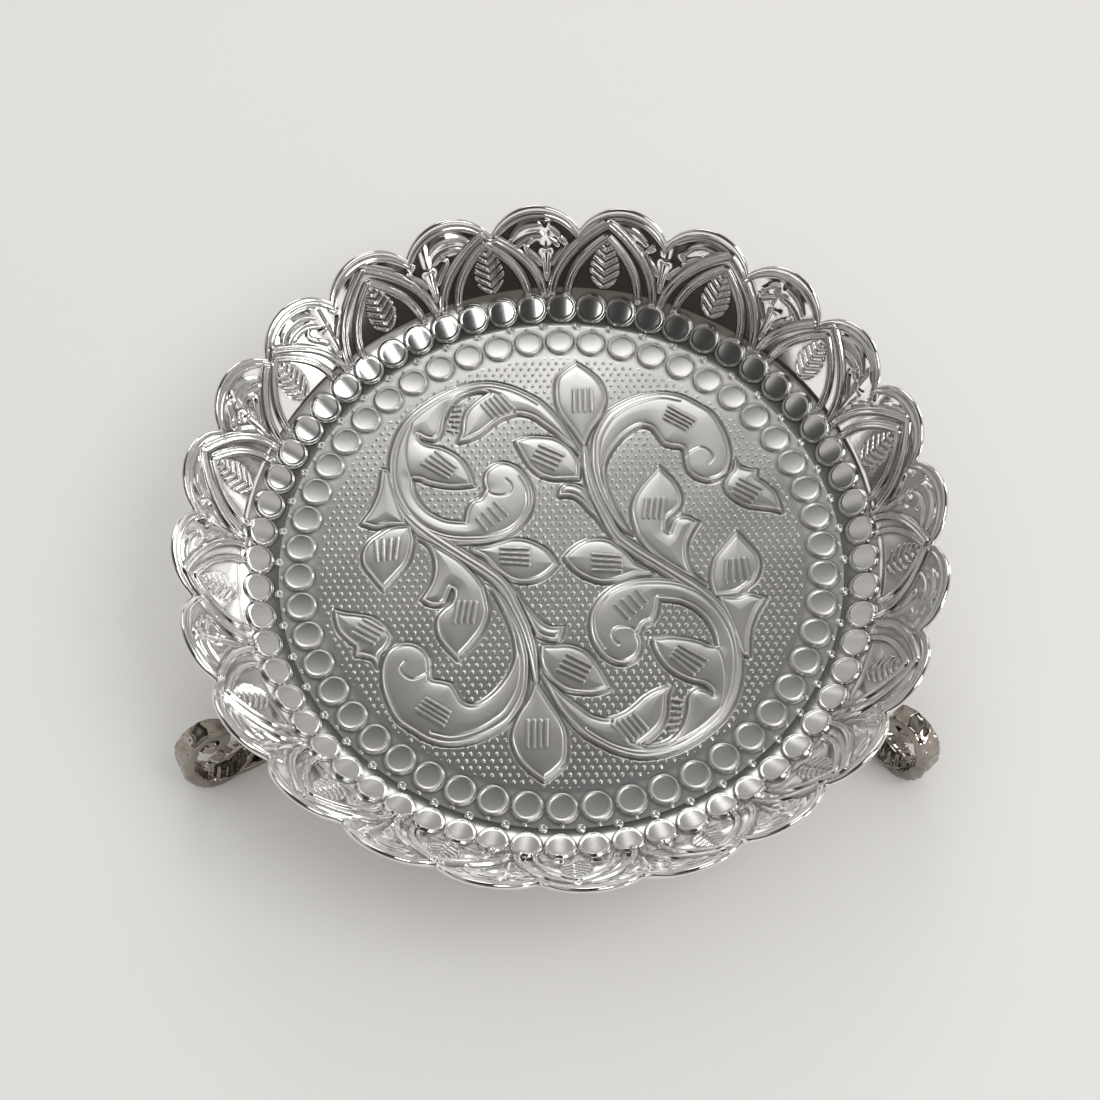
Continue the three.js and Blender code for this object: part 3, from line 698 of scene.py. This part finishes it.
def metal(name, colour, polish, satin, scale, dark, recess_shade, uneven):
    """Metal that goes from polish to satin where it is painted matt, and darkens with shade painted into its
    hollows.
    """
    material = bpy.data.materials.new(name)
    material.use_nodes = True
    tree = material.node_tree
    tree.nodes.clear()
    matt, deep = (
        node(tree, "ShaderNodeAttribute", (-700, y), attribute_name=label).outputs["Fac"]
        for y, label in ((0, "matt"), (-250, "recess_shade"))
    )
    # painted shade: darker where the sheet lies in a hollow
    painted_shade = maths(tree, (-450, -250), "MULTIPLY", deep, recess_shade)
    stain_and_shade = node(tree, "ShaderNodeGroup", (-200, 100), node_tree=metal_stain_and_shade_group(), Scale=scale, Dark=dark,
                Blur=0.05, Hollow=painted_shade).outputs
    tinted = node(tree, "ShaderNodeMix", (200, 200), data_type="RGBA", blend_type="MULTIPLY", Factor=1.0)
    tinted.inputs[6].default_value = (*colour, 1)
    tree.links.new(stain_and_shade["Tint"], tinted.inputs[7])
    base = node(tree, "ShaderNodeMapRange", (-200, -200), matt, 0.0, 1.0, polish, satin).outputs["Result"]
    rough = maths(tree, (200, -100), "ADD", base, stain_and_shade["Roughness"])
    bump = node(tree, "ShaderNodeBump", (400, -300), Strength=uneven, Distance=0.0002, Height=stain_and_shade["Height"])
    shader = node(tree, "ShaderNodeBsdfPrincipled", (600, 0), tinted.outputs[2], Metallic=1.0,
                  Roughness=rough, Normal=bump.outputs["Normal"])
    node(tree, "ShaderNodeOutputMaterial", (900, 0), Surface=shader.outputs[0])
    return material


# Operators


def silver_metal():
    """The dish's silver finish, made once."""
    name, sizes = "silver_finish", bpy.context.scene.urli_dish
    # its hollows get painted shade at the given strength
    return bpy.data.materials.get(name) or metal(
        name, sizes.silver, sizes.polish, sizes.satin, scale=45.0, dark=0.1, recess_shade=0.45, uneven=0.03
    )


def recess_shade_depth(height, cell):
    """How far each point lies under the mean of its neighbours a few cells away, from 0 to 1: where the metal
    gets its painted shade.
    """
    rows, columns = height.shape
    wide = np.pad(height, cell, mode="edge")
    steps = (0, cell, 2 * cell)
    around = sum(wide[i : i + rows, j : j + columns] for i in steps for j in steps) / 9
    return np.clip((around - height) * 3, 0, 1)


# Grids: cells along a side or round and up, every how many points the lower face has one, and the turns at
# which the bead's circle starts and ends
WELL_CELLS = 297
BACK_STEP = 3
BAND_COLUMNS = 1584
BAND_ROWS = 39
WALL_COLUMNS = 552
WALL_ROWS = 129
BEAD_ROWS = 10
BEAD_FROM = math.radians(125)
BEAD_TO = math.radians(-130)

# Reach in cells of the hollows that get painted shade, and how far off the neighbours lie that give a point
# its normal
SHADE_RECESS_CELLS = 3
NEAR = 0.03
NEAR_UP = 0.02
NEAR_ROUND = 0.0002


def back_of(points):
    """Flat lower face of the well's sheet, under every few of its points."""
    lower = points[::BACK_STEP, ::BACK_STEP].copy()
    lower[..., 2] = -SHEET * MM
    return lower


def well_sheet(x, y, relief):
    """Points of the well's relief with their normals, how matt each is and how deep it lies in a hollow, for
    its painted shade.
    """
    height, matt = well_relief(x, y)
    along, across = (well_relief(x + i * NEAR, y + j * NEAR)[0] - height for i, j in ((1, 0), (0, 1)))
    facing = np.stack([-along * relief / NEAR, -across * relief / NEAR, np.ones_like(x)], -1)
    facing /= np.linalg.norm(facing, axis=-1, keepdims=True)
    # the last value sets how much shade is painted at each point
    return np.stack([x, y, height * relief], -1) * MM, facing, matt, recess_shade_depth(height, SHADE_RECESS_CELLS)


def painted_sheet(name, top, facing, back, facing_back, matt, recess_shade, join):
    """Piece of sheet from its two faces, with its normals and its painted values: how matt it is and its
    painted shade in the hollows.
    """
    points, faces, flat = shell(top, back)
    rest = np.zeros(back.shape[0] * back.shape[1])
    turned = np.vstack([facing.reshape(-1, 3), facing_back.reshape(-1, 3)])
    kept = np.arange(len(points))
    if join:
        faces, flat, kept = joined_ends(points, faces, flat)
    piece = new_piece(name, points[kept], faces, flat, silver_metal(), "dish", turned[kept])
    paint(piece, "matt", np.concatenate([matt.ravel(), rest])[kept])
    # painted shade in the hollows
    paint(piece, "recess_shade", np.concatenate([recess_shade.ravel(), rest])[kept])


def joined_ends(points, faces, flat):
    """Closes a ring whose first and last columns meet: merges their points, drops the wall between them."""
    corner = points[faces]
    at_seam = flat & (np.abs(corner[..., 1]).max(1) < 1e-6) & (corner[..., 0].min(1) > 0)
    keys = np.round(points / (0.001 * MM)).astype(np.int64)
    _, first, where = np.unique(keys, axis=0, return_index=True, return_inverse=True)
    return where.reshape(-1)[faces[~at_seam]], flat[~at_seam], first


class URLI_OT_well(bpy.types.Operator):
    """Builds the well: four quarters of the scroll-vine medallion and the band of the inner bosses."""

    bl_idname = "urli.build_well"
    bl_label = "Well"

    def execute(self, context):
        relief = context.scene.urli_dish.relief
        line = np.linspace(0, 1, WELL_CELLS + 1)
        for number, (low_u, low_v) in enumerate(((0, 0), (-1, 0))):
            u, v = np.meshgrid(line + low_u, line + low_v)
            top, facing, matt, recess_shade = well_sheet(*disc_points(u, v, MEDALLION), relief)
            for quarter, sign in ((number + 1, 1), (number + 3, -1)):
                turn = np.array([sign, sign, 1.0])
                self.piece(f"well_quarter_{quarter}", top * turn, facing * turn, matt, recess_shade, False)
        angle = np.linspace(0, TURN, BAND_COLUMNS + 1)
        r, a = np.meshgrid(np.linspace(MEDALLION, WELL, BAND_ROWS + 1), angle, indexing="ij")
        self.piece("boss_band", *well_sheet(r * np.cos(a), r * np.sin(a), relief), True)
        return {"FINISHED"}

    def piece(self, name, top, facing, matt, recess_shade, join):
        """One piece of the well over a flat back."""
        back = back_of(top)
        down = np.zeros(back.shape) - (0, 0, 1)
        painted_sheet(name, top, facing, back, down, matt, recess_shade, join)


class URLI_OT_wall(bpy.types.Operator):
    """Builds the wall in four quarters: outer bosses, arches with fern leaves, lobes and the rolled edge."""

    bl_idname = "urli.build_wall"
    bl_label = "Wall"

    def execute(self, context):
        relief = context.scene.urli_dish.relief
        for quarter in range(4):
            start = SCALLOP_TURN + quarter * TURN / 4
            angle = start + np.linspace(0, TURN / 4, WALL_COLUMNS + 1)
            end = rim_run(angle) - BEAD * (1 - math.cos(BEAD_FROM))
            s = np.linspace(0, 1, WALL_ROWS + 1)[:, None] * end
            a = angle + 0 * s
            sheet, height = wall_surface(a, s, relief)
            above = wall_surface(a, s + NEAR_UP, relief)[0]
            facing = normals(sheet, above, wall_surface(a + NEAR_ROUND, s, relief)[0])
            turn = np.linspace(BEAD_FROM, BEAD_TO, BEAD_ROWS)[1:, None] + 0 * angle
            a = angle + 0 * turn
            bead = bead_surface(a, turn)
            over = bead_surface(a, turn - NEAR_UP)
            facing_bead = normals(bead, over, bead_surface(a + NEAR_ROUND, turn))
            top = np.concatenate([sheet, bead])
            rows_back = (len(top) - 1) // BACK_STEP + 1
            if (rows_back - 1) * BACK_STEP != len(top) - 1:
                raise ValueError("the wall's rows don't divide by the back's step")
            far = angle[::BACK_STEP]
            below = np.linspace(0, 1, rows_back)[:, None] * (rim_run(far) - 2 * BEAD)
            far = far + 0 * below
            back = sheet_points(far, below, -SHEET + 0 * below)
            facing_back = (back - sheet_points(far, below, 0 * below)) / (SHEET * MM)
            recess_shade, matt = np.zeros((2, *top.shape[:2]))
            # painted shade in the hollows of the wall's relief
            recess_shade[: len(sheet)] = recess_shade_depth(height, SHADE_RECESS_CELLS)
            matt[: len(sheet)] = 0.4 * smooth(ARCH_FOOT + 2, ARCH_FOOT - 2, s)
            painted_sheet(f"wall_quarter_{quarter + 1}", top, np.concatenate([facing, facing_bead]), back,
                          facing_back, matt, recess_shade, False)
        return {"FINISHED"}


# Cast foot in its own plane. Each point of a line has its share of the reach out from the pad, of the way
# down to the floor, of the band's half width and of its half thickness, as the solids have them. A foot's
# place is the direction of its pad and its own turn about the pad, in degrees
STAND = 42.0
FOOT_REACH = 66.0
BAND_HALF = 5.2
BAND_THICK = 2.1
PAD_TOP = -1.5
PAD_THICK = 3
PAD_UNDER = PAD_TOP - PAD_THICK
PAD_LONG = 10
PAD_WIDE = 7.5
SOLE_CUT = 0.9
KNOB = 4.2
CAST_COLOUR = (0.36, 0.325, 0.285)
PAD_RING = WELL - 12
FOOT_PLACES = {"foot_back": (91, 0), "foot_left": (208, 0), "foot_right": (342, -27)}
SCROLL_POINTS = [
    (0, 0.02, 1.15, 0.76), (0.167, 0.05, 1, 0.95), (0.333, 0.213, 0.69, 0.95), (0.47, 0.45, 0.58, 1),
    (0.591, 0.69, 0.65, 1.1), (0.712, 0.91, 0.88, 1.05), (0.826, 1, 1, 1), (0.924, 0.895, 1.04, 1.05),
    (0.978, 0.69, 1, 1.05), (1, 0.44, 1, 1), (0.977, 0.187, 0.96, 1), (0.917, -0.013, 0.92, 0.95),
    (0.833, -0.099, 0.85, 0.9), (0.758, -0.04, 0.81, 0.9), (0.735, 0.093, 0.77, 0.9),
    (0.773, 0.213, 0.73, 0.9), (0.833, 0.187, 0.65, 0.9),
]
CURL_POINTS = [
    (0.79, 1, 0.8, 1), (0.68, 1, 0.95, 1), (0.56, 1, 0.95, 1), (0.455, 0.88, 0.9, 0.95),
    (0.44, 0.7, 0.85, 0.9), (0.51, 0.62, 0.8, 0.9), (0.575, 0.7, 0.75, 0.9), (0.54, 0.8, 0.7, 0.9),
]
LEAF_POINTS = [
    (0.576, 0.615, 0.55, 0.7), (0.667, 0.775, 1.05, 0.9), (0.758, 0.87, 1.35, 1.05), (0.848, 0.885, 1.05, 1),
    (0.917, 0.835, 0.5, 0.8), (0.95, 0.785, 0.16, 0.4),
]


def hammered(u, v, pitch, depth):
    """Dimples of a planishing hammer: depth times the squared distance to the nearest of scattered blows."""
    best = np.full(u.shape, 1e9)
    column, row = np.floor(u / pitch), np.floor(v / pitch)
    for i in (-1, 0, 1):
        for j in (-1, 0, 1):
            a, b = column + i, row + j
            jitter_u = 0.5 + 0.36 * np.sin(12.9 * a + 78.2 * b)
            jitter_v = 0.5 + 0.36 * np.sin(39.3 * a - 26.7 * b + 1.3)
            best = np.minimum(best, (u - (a + jitter_u) * pitch) ** 2 + (v - (b + jitter_v) * pitch) ** 2)
    return depth * np.clip(best / (0.5 * pitch) ** 2, 0, 1.6)


def foot_band(points, columns, steps, square, relief):
    """Closed band: a rounded bar section carried along a smooth line, its ends drawn in to a point.

    The section is (cos a, sin a) with each part raised to the power square, keeping its sign; relief gives a
    height from the distance along, the place across from -1 to 1 and the side, which is 1 on the outer face.
    """
    path = np.array([
        (out * FOOT_REACH, PAD_UNDER - down * (STAND + SOLE_CUT - BAND_THICK + PAD_UNDER), wide * BAND_HALF,
         thick * BAND_THICK) for out, down, wide, thick in points
    ])
    line = curve(path, steps)
    run = np.concatenate([[0], np.cumsum(np.hypot(*np.diff(line[:, :2], axis=0).T))])
    slope = np.gradient(line[:, :2], axis=0)
    slope /= np.linalg.norm(slope, axis=1, keepdims=True)
    ends = np.clip(np.minimum(np.arange(len(line)), np.arange(len(line))[::-1]) / 4, 0, 1)
    close = np.sqrt(1 - (1 - ends) ** 2)[:, None]
    a = np.linspace(0, TURN, columns, endpoint=False)[None, :]
    across = np.sign(np.cos(a)) * np.abs(np.cos(a)) ** square
    up = np.sign(np.sin(a)) * np.abs(np.sin(a)) ** square
    x, z, half, thick = (line[:, k : k + 1] for k in range(4))
    lift = relief(*np.broadcast_arrays(run[:, None], across, up), half)
    thick = (up * thick + lift * np.sign(up) * np.abs(up) ** 0.5) * close
    x = x - slope[:, 1:2] * thick
    z = z + slope[:, 0:1] * thick
    return np.stack([x, across * half * close, np.maximum(z, -STAND)], -1)


def tube_faces(rows, columns):
    """Triangles of a tube of rings, each end closed by a fan round a point of its own.

    These two points come after the rings' points, first the one of the first ring.
    """
    index = np.arange(rows * columns).reshape(rows, columns)
    ring, after = index[0], np.roll(index[0], -1)
    last, middle = index[-1, 0], index.size + 0 * ring
    start = np.stack([middle, after, ring], -1)
    end = np.stack([middle + 1, last + ring, last + after], -1)
    return np.vstack([cells(np.column_stack([index, index[:, :1]])), start, end])


def ball(radius, centre, rows, columns, relief):
    """Ball by latitude and longitude with its axis across the foot; relief is added to its radius."""
    polar = np.linspace(0, math.pi, rows + 2)[1:-1, None]
    around = np.linspace(0, TURN, columns, endpoint=False)[None, :]
    r = radius + relief(polar, around)
    x = centre[0] + r * np.sin(polar) * np.cos(around)
    z = centre[1] + r * np.sin(polar) * np.sin(around)
    return np.stack([x, -r * np.cos(polar) * np.ones_like(around), z], -1)


def foot_piece(name, rings, place, material, replaced):
    """Makes one closed piece of a foot from rings of points in the foot's plane and sets it at its place."""
    angle, splay = (math.radians(value) for value in place)
    rows, columns = rings.shape[:2]
    caps = np.stack([rings[0].mean(0), rings[-1].mean(0)])
    points = np.vstack([rings.reshape(-1, 3), caps])
    turn = angle + splay
    x = PAD_RING * math.cos(angle) + points[:, 0] * math.cos(turn) - points[:, 1] * math.sin(turn)
    y = PAD_RING * math.sin(angle) + points[:, 0] * math.sin(turn) + points[:, 1] * math.cos(turn)
    placed = np.stack([x, y, points[:, 2]], -1) * MM
    faces = tube_faces(rows, columns)
    new_piece(name, placed, faces, np.zeros(len(faces), bool), material, replaced)


class URLI_OT_feet(bpy.types.Operator):
    """Builds the three cast feet: strap and scroll, small curl, leaf over the sole, knob and pad."""

    bl_idname = "urli.build_feet"
    bl_label = "Feet"

    def execute(self, context):
        cast = metal("cast_metal", CAST_COLOUR, 0.1, 0.3, scale=80.0, dark=0.45, recess_shade=0.6, uneven=0.06)

        def beaten(run, across, side, half):
            """Hammered faces with a raised line along each edge."""
            face = smooth(0.3, 0.9, np.abs(side)) * smooth(30, 42, run)
            lines = 0.35 * bell(np.abs(across) - 0.86, 0.1)
            strap = 0.45 * bell(across, 0.22) * smooth(0.3, 0.9, side) * (1 - smooth(24, 40, run))
            return face * hammered(run, across * half * 1.3, 4.2, 0.55) + lines * smooth(8, 14, run) + strap

        def veined(run, across, side, half):
            """Leaf with a ridge along its middle and slanting furrows that meet it."""
            veins = 0.5 + 0.5 * np.cos(TURN * (run - np.abs(across) * half * 0.8) / 4.4)
            furrows = 0.6 * veins * smooth(0.1, 0.35, np.abs(across))
            return smooth(0.2, 0.8, side) * (0.9 * bell(across, 0.18) - furrows)

        def plain(run, across, side, half):
            """Smooth bar with a low raised line along each edge."""
            return 0.3 * bell(np.abs(across) - 0.8, 0.12) + 0 * run

        def seed(polar, around):
            """Round knob with a band of petals."""
            return 0.35 * np.cos(5 * around) * np.sin(polar) ** 2 - 0.3 * bell(polar - math.pi / 2, 0.18)

        scroll = foot_band(SCROLL_POINTS, 44, 11, 0.45, beaten)
        curl = foot_band(CURL_POINTS, 32, 9, 0.5, plain)
        leaf = foot_band(LEAF_POINTS, 40, 12, 0.8, veined)
        tip = scroll[-1].mean(0)
        knob = ball(KNOB, (tip[0], tip[2]), 25, 40, seed)
        down = np.array([0, 0.06, 0.94, 1])[:, None]
        around = np.linspace(0, TURN, 40, endpoint=False)[None, :]
        width = np.array([0.97, 1, 0.84, 0.8])[:, None]
        pad = np.stack([PAD_LONG * width * np.cos(around), PAD_WIDE * width * np.sin(around),
                        PAD_TOP - PAD_THICK * down + 0 * around], -1)
        parts = {"scroll": scroll, "curl": curl, "leaf": leaf, "knob": knob, "pad": pad}
        for name, place in FOOT_PLACES.items():
            for part, rings in parts.items():
                foot_piece(f"{name}_{part}", rings, place, cast, name)
        return {"FINISHED"}


# Studio. Sky: the height of a direction and the level there. Cloths: reach in metres, then in degrees the
# foot, the rise above it in front and the half width of that rise, and the colour. Camera: its place, and its
# right, its up and the way back from what it looks at. Soft boxes: direction, rise and half width in degrees
# as the dish sees them, and level
FLOOR_SIZE = 60
SKY_LEVELS = (
    (0.0, 1.0), (0.41, 0.96), (0.46, 0.42), (0.62, 0.44), (0.67, 0.54), (0.76, 0.5), (0.82, 0.12),
    (0.9, 0.05), (1.0, 0.03),
)
FLAG_FRONT = math.radians(255)
FLAG_SIDES = 96
FLAGS = (
    ("dark_flag", 2.4, 13, 13, 95, (0.03, 0.021, 0.015)),
    ("grey_flag", 2.4, 26, 31, 50, (0.2, 0.18, 0.16)),
    ("pale_flag", 2.6, 12, 15, 1000, (0.42, 0.41, 0.4)),
)
CAMERA_AT = (0.00352, -0.37149, 0.71236)
CAMERA_AXES = (
    (0.99993872, 0, -0.01107083), (0.00517411, 0.88406459, 0.46733609), (0.00978733, -0.46736473, 0.88401042),
)
LAMP_DISTANCE = 1.5
LAMPS = (
    ("key", 333, 60, 14, 3.6),
    ("back", 93, 39, 15, 2.0),
    ("side", 35, 15, 8, 8.6),
    ("low", 339, 6, 6, 11.5),
    ("fill", 270, 85, 38, 0.95),
)


def plain_matt(name, colour):
    """Even matt material of one colour."""
    material = bpy.data.materials.new(name)
    material.use_nodes = True
    shader = material.node_tree.nodes["Principled BSDF"]
    shader.inputs["Base Color"].default_value = (*colour, 1)
    shader.inputs["Roughness"].default_value = 0.8
    return material


class URLI_OT_stage(bpy.types.Operator):
    """Sets the floor, the camera, the sky, the cloths that the metal reflects and the soft boxes."""

    bl_idname = "urli.build_stage"
    bl_label = "Studio"

    def execute(self, context):
        scene, settings = context.scene, context.scene.urli_studio
        scene.view_settings.view_transform = "Standard"
        floor_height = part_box("foot_back")[0].z
        bpy.ops.mesh.primitive_plane_add(size=FLOOR_SIZE, location=(0, 0, floor_height))
        floor = context.active_object
        floor.name = "floor"
        floor.data.materials.append(plain_matt("floor_paper", settings.floor_colour))
        self.camera(scene, settings)
        self.sky(scene)
        for name, reach, foot, rise, spread, colour in FLAGS:
            self.flag(name, reach, *(math.radians(value) for value in (foot, rise, spread)), colour)
        self.lamps(scene)
        return {"FINISHED"}

    def camera(self, scene, settings):
        """Camera at the viewing angle that was solved from the rings of bosses."""
        lens = bpy.data.cameras.new("camera")
        lens.sensor_width = 36
        lens.lens = settings.lens
        lens.clip_start = 0.01
        camera = bpy.data.objects.new("camera", lens)
        scene.collection.objects.link(camera)
        camera.matrix_world = Matrix.LocRotScale(Vector(CAMERA_AT), Matrix(CAMERA_AXES).transposed(), None)
        scene.camera = camera

    def sky(self, scene):
        """Room that is pale near the floor and dims towards the ceiling, by the height of the direction."""
        world = bpy.data.worlds.new("studio")
        scene.world = world
        world.use_nodes = True
        tree = world.node_tree
        place = node(tree, "ShaderNodeTexCoord", (-900, 0)).outputs["Generated"]
        split = node(tree, "ShaderNodeSeparateXYZ", (-700, 0), place)
        ramp = node(tree, "ShaderNodeValToRGB", (-400, 0), split.outputs["Z"])
        tree.links.new(ramp.outputs["Color"], tree.nodes["Background"].inputs["Color"])
        stops = ramp.color_ramp.elements
        for number, (position, level) in enumerate(SKY_LEVELS):
            stop = stops[number] if number < 2 else stops.new(position)
            stop.position = position
            stop.color = (level, level * 0.98, level * 0.95, 1)

    def flag(self, name, reach, foot, rise, spread, colour):
        """Cloth hung round the set, which only the metal's reflections see.

        It rises most in front, and less by the exponential of the fourth power of the turn away from there.
        """
        i = np.arange(FLAG_SIDES)
        around = i * (TURN / FLAG_SIDES)
        rim = reach * np.stack([np.cos(around), np.sin(around)], -1)
        top = foot + rise * np.exp(-((fold(around, FLAG_FRONT, 1) / spread) ** 4))
        low, high = (np.column_stack([rim, reach * np.tan(e)]) for e in (foot + 0 * top, top))
        mesh = bpy.data.meshes.new(name)
        after = (i + 1) % FLAG_SIDES
        faces = np.stack([i, after, after + FLAG_SIDES, i + FLAG_SIDES], -1)
        mesh.from_pydata(np.vstack([low, high]).tolist(), [], faces.tolist())
        mesh.materials.append(plain_matt(f"{name}_cloth", colour))
        flag = bpy.data.objects.new(name, mesh)
        bpy.context.scene.collection.objects.link(flag)
        flag.visible_camera = flag.visible_diffuse = flag.visible_shadow = False

    def lamps(self, scene):
        """Round soft boxes; a box's power is its level times pi times its area.

        The low boxes shine into the metal only, so that they leave no glare on the floor, and the fill lights
        the floor only.
        """
        for name, turn, rise, half_width, level in LAMPS:
            light = bpy.data.lights.new(name, "AREA")
            light.shape = "DISK"
            reach = LAMP_DISTANCE * math.tan(math.radians(half_width))
            light.size = 2 * reach
            light.energy = level * math.pi * math.pi * reach**2
            lamp = bpy.data.objects.new(name, light)
            scene.collection.objects.link(lamp)
            place = Vector((LAMP_DISTANCE, 0, 0))
            place.rotate(Euler((0, -math.radians(rise), math.radians(turn))))
            lamp.location = place
            lamp.visible_diffuse = rise > 20
            lamp.visible_glossy = name != "fill"
            lamp.rotation_euler = (-place).to_track_quat("-Z", "Y").to_euler()


class URLI_PT_panel(bpy.types.Panel):
    """Lists the platter's settings and its builders."""

    bl_idname = "URLI_PT_panel"
    bl_label = "Urli Platter"
    bl_space_type = "VIEW_3D"
    bl_region_type = "UI"
    bl_category = "Urli Platter"

    def draw(self, context):
        for group in (context.scene.urli_dish, context.scene.urli_studio):
            for key in group.__annotations__:
                self.layout.prop(group, key)
        for operator in BUILDERS:
            self.layout.operator(operator.bl_idname)


BUILDERS = (URLI_OT_well, URLI_OT_wall, URLI_OT_feet, URLI_OT_stage)
CLASSES = (DishSizes, StudioSettings, *BUILDERS, URLI_PT_panel)


def register():
    for cls in CLASSES:
        bpy.utils.register_class(cls)
    bpy.types.Scene.urli_dish = PointerProperty(type=DishSizes)
    bpy.types.Scene.urli_studio = PointerProperty(type=StudioSettings)


def unregister():
    del bpy.types.Scene.urli_studio
    del bpy.types.Scene.urli_dish
    for cls in reversed(CLASSES):
        bpy.utils.unregister_class(cls)


def main():
    """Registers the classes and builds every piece."""
    register()
    bpy.ops.urli.build_stage()
    bpy.ops.urli.build_well()
    bpy.ops.urli.build_wall()
    bpy.ops.urli.build_feet()


if __name__ == "__main__":
    main()
